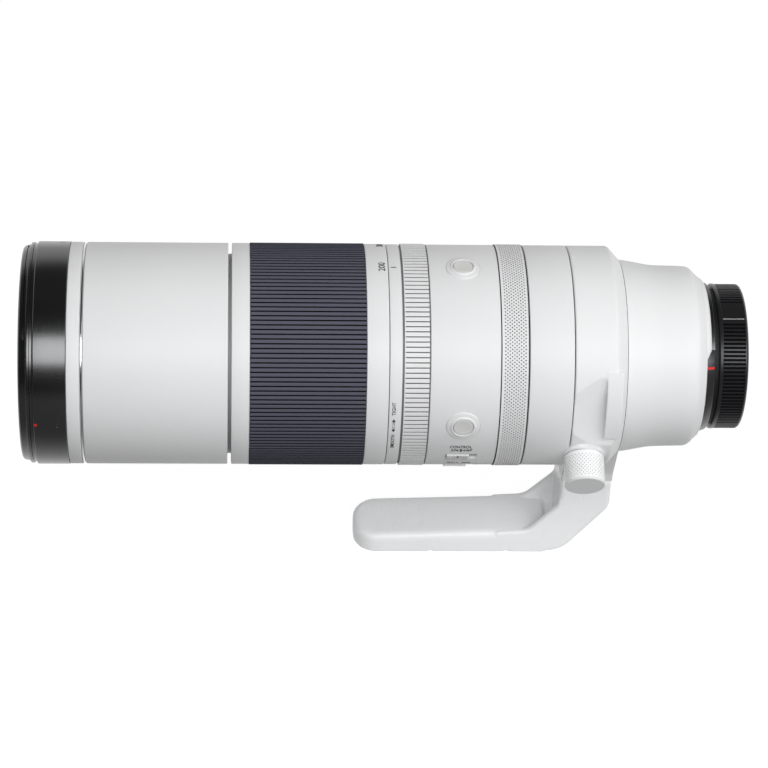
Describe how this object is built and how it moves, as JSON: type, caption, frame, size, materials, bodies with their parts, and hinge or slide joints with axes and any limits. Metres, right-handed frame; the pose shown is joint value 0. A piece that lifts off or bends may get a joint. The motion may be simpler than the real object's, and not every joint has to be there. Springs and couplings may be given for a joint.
{
  "type": "super telephoto zoom lens",
  "caption": "White super telephoto zoom lens with an extending front barrel, ribbed grip, turning tripod collar with a long foot, lock knob and rear cap.",
  "frame": {"origin": "centre of the mount's flange plane, on the optical axis", "axes": "+X along the optical axis towards the camera, the front of the lens at -X; +Z is twelve o'clock, the foot points down at -Z; -Y is the side with the switches"},
  "size_m": [0.3296, 0.1155, 0.1641],
  "materials": {
    "white_shell": "matte",
    "white_metal": "matte",
    "black_metal": "satin",
    "polished_metal": "polished",
    "grip_rubber": "matte",
    "black_rubber": "matte",
    "mount_steel": "satin",
    "screw_steel": "satin",
    "black_plastic": "matte",
    "grey_plastic": "matte",
    "gold_contact": "polished",
    "follower_brass": "satin",
    "board_green": "satin",
    "blade_black": "matte",
    "front_glass": "polished",
    "inner_glass": "polished"
  },
  "bodies": {
    "barrel": {"mount_plate": "mount_steel", "mount_screws": "screw_steel", "contact_block": "black_plastic", "contact_pads": "gold_contact", "rear_barrel": "white_metal", "guide_tube": "black_metal", "inner_tube": "black_metal", "rear_cover": "white_shell", "main_barrel": "white_shell", "switch_base": "black_plastic", "index_ring": "white_shell", "dust_seal": "black_rubber", "main_board": "board_green", "focus_rods": "screw_steel", "focus_motors": "black_plastic", "rear_cell": "black_metal", "rear_lenses": "inner_glass", "aperture_base": "black_plastic", "stabiliser_base": "black_plastic"},
    "front_group": {"front_ring": "black_metal", "name_ring": "white_shell", "polished_ring": "polished_metal", "front_barrel": "white_shell", "extension_tube": "white_metal", "cam_followers": "follower_brass", "front_cell": "black_metal", "front_element": "front_glass", "front_doublet": "front_glass", "retaining_ring": "black_metal"},
    "zoom": {"zoom_ring": "white_shell", "zoom_grip": "grip_rubber", "cam_drum": "black_metal"},
    "variator": {"variator_cell": "black_metal", "variator_lens": "inner_glass"},
    "focus": {"focus_cell": "black_metal", "focus_lens": "inner_glass"},
    "stabiliser_level": {"stabiliser_frame": "black_plastic"},
    "stabiliser_lift": {"stabiliser_cell": "black_plastic", "stabiliser_lens": "inner_glass"},
    "iris": {"aperture_ring": "black_plastic"},
    "blade_1": {"aperture_blade_1": "blade_black"},
    "blade_2": {"aperture_blade_2": "blade_black"},
    "blade_3": {"aperture_blade_3": "blade_black"},
    "blade_4": {"aperture_blade_4": "blade_black"},
    "blade_5": {"aperture_blade_5": "blade_black"},
    "blade_6": {"aperture_blade_6": "blade_black"},
    "blade_7": {"aperture_blade_7": "blade_black"},
    "blade_8": {"aperture_blade_8": "blade_black"},
    "blade_9": {"aperture_blade_9": "blade_black"},
    "collar": {"collar_ring": "white_metal", "tripod_foot": "white_metal"},
    "knob": {"lock_knob": "white_metal"},
    "tension": {"tension_ring": "white_shell"},
    "control": {"control_ring": "white_shell"},
    "upper_button": {"top_button": "grey_plastic"},
    "lower_button": {"side_button": "grey_plastic"},
    "mode": {"mode_switch": "grey_plastic"},
    "stabiliser_slider": {"stabiliser_switch": "grey_plastic"},
    "cap": {"rear_cap": "black_plastic"}
  },
  "joints": [
    {"name": "zoom_turn", "type": "hinge", "parent": "barrel", "child": "zoom", "pos_m": [-0.18415, 0, 0], "axis": [1, 0, 0], "range_deg": [0, 120]},
    {"name": "front_extension", "type": "slide", "parent": "barrel", "child": "front_group", "axis": [-1, 0, 0], "range_m": [0, 0.092]},
    {"name": "variator_slide", "type": "slide", "parent": "barrel", "child": "variator", "axis": [-1, 0, 0], "range_m": [0, 0.025]},
    {"name": "focus_slide", "type": "slide", "parent": "barrel", "child": "focus", "axis": [-1, 0, 0], "range_m": [0, 0.015]},
    {"name": "stabiliser_level_slide", "type": "slide", "parent": "barrel", "child": "stabiliser_level", "axis": [0, 1, 0], "range_m": [-0.001, 0.001]},
    {"name": "stabiliser_lift_slide", "type": "slide", "parent": "stabiliser_level", "child": "stabiliser_lift", "axis": [0, 0, 1], "range_m": [-0.001, 0.001]},
    {"name": "iris_turn", "type": "hinge", "parent": "barrel", "child": "iris", "pos_m": [-0.1316, 0, 0], "axis": [-1, 0, 0], "range_deg": [0, 2.48]},
    {"name": "blade_1_turn", "type": "hinge", "parent": "barrel", "child": "blade_1", "pos_m": [-0.128, 0, 0.031], "axis": [-1, 0, 0], "range_deg": [0, 25.1]},
    {"name": "blade_2_turn", "type": "hinge", "parent": "barrel", "child": "blade_2", "pos_m": [-0.128, 0.01993, 0.02375], "axis": [-1, 0, 0], "range_deg": [0, 25.1]},
    {"name": "blade_3_turn", "type": "hinge", "parent": "barrel", "child": "blade_3", "pos_m": [-0.128, 0.03053, 0.00538], "axis": [-1, 0, 0], "range_deg": [0, 25.1]},
    {"name": "blade_4_turn", "type": "hinge", "parent": "barrel", "child": "blade_4", "pos_m": [-0.128, 0.02685, -0.0155], "axis": [-1, 0, 0], "range_deg": [0, 25.1]},
    {"name": "blade_5_turn", "type": "hinge", "parent": "barrel", "child": "blade_5", "pos_m": [-0.128, 0.0106, -0.02913], "axis": [-1, 0, 0], "range_deg": [0, 25.1]},
    {"name": "blade_6_turn", "type": "hinge", "parent": "barrel", "child": "blade_6", "pos_m": [-0.128, -0.0106, -0.02913], "axis": [-1, 0, 0], "range_deg": [0, 25.1]},
    {"name": "blade_7_turn", "type": "hinge", "parent": "barrel", "child": "blade_7", "pos_m": [-0.128, -0.02685, -0.0155], "axis": [-1, 0, 0], "range_deg": [0, 25.1]},
    {"name": "blade_8_turn", "type": "hinge", "parent": "barrel", "child": "blade_8", "pos_m": [-0.128, -0.03053, 0.00538], "axis": [-1, 0, 0], "range_deg": [0, 25.1]},
    {"name": "blade_9_turn", "type": "hinge", "parent": "barrel", "child": "blade_9", "pos_m": [-0.128, -0.01993, 0.02375], "axis": [-1, 0, 0], "range_deg": [0, 25.1]},
    {"name": "collar_turn", "type": "hinge", "parent": "barrel", "child": "collar", "pos_m": [-0.0535, 0, 0], "axis": [1, 0, 0], "continuous": true},
    {"name": "knob_turn", "type": "hinge", "parent": "collar", "child": "knob", "pos_m": [-0.0586, -0.0539, -0.024], "axis": [0, -0.9135, -0.4067], "range_deg": [0, 270]},
    {"name": "tension_turn", "type": "hinge", "parent": "barrel", "child": "tension", "pos_m": [-0.1366, 0, 0], "axis": [1, 0, 0], "range_deg": [0, 60]},
    {"name": "control_turn", "type": "hinge", "parent": "barrel", "child": "control", "pos_m": [-0.09255, 0, 0], "axis": [1, 0, 0], "continuous": true},
    {"name": "top_button_press", "type": "slide", "parent": "barrel", "child": "upper_button", "axis": [0, 0, -1], "range_m": [0, 0.0006], "stiffness_N_per_m": 1500, "springref_m": -0.0005},
    {"name": "side_button_press", "type": "slide", "parent": "barrel", "child": "lower_button", "axis": [0, 1, 0], "range_m": [0, 0.0006], "stiffness_N_per_m": 1500, "springref_m": -0.0005},
    {"name": "mode_slide", "type": "slide", "parent": "barrel", "child": "mode", "axis": [1, 0, 0], "range_m": [0, 0.0032]},
    {"name": "stabiliser_switch_slide", "type": "slide", "parent": "barrel", "child": "stabiliser_slider", "axis": [1, 0, 0], "range_m": [0, 0.0032]},
    {"name": "cap_pull", "type": "slide", "parent": "barrel", "child": "cap", "axis": [1, 0, 0], "range_m": [0, 0.06]}
  ],
  "couplings": [
    {"joint": "front_extension", "follows": "zoom_turn", "m_per_rad": 0.043926},
    {"joint": "variator_slide", "follows": "zoom_turn", "m_per_rad": 0.01193},
    {"joint": "blade_1_turn", "follows": "iris_turn", "ratio": 10.08},
    {"joint": "blade_2_turn", "follows": "iris_turn", "ratio": 10.08},
    {"joint": "blade_3_turn", "follows": "iris_turn", "ratio": 10.08},
    {"joint": "blade_4_turn", "follows": "iris_turn", "ratio": 10.08},
    {"joint": "blade_5_turn", "follows": "iris_turn", "ratio": 10.08},
    {"joint": "blade_6_turn", "follows": "iris_turn", "ratio": 10.08},
    {"joint": "blade_7_turn", "follows": "iris_turn", "ratio": 10.08},
    {"joint": "blade_8_turn", "follows": "iris_turn", "ratio": 10.08},
    {"joint": "blade_9_turn", "follows": "iris_turn", "ratio": 10.08}
  ]
}
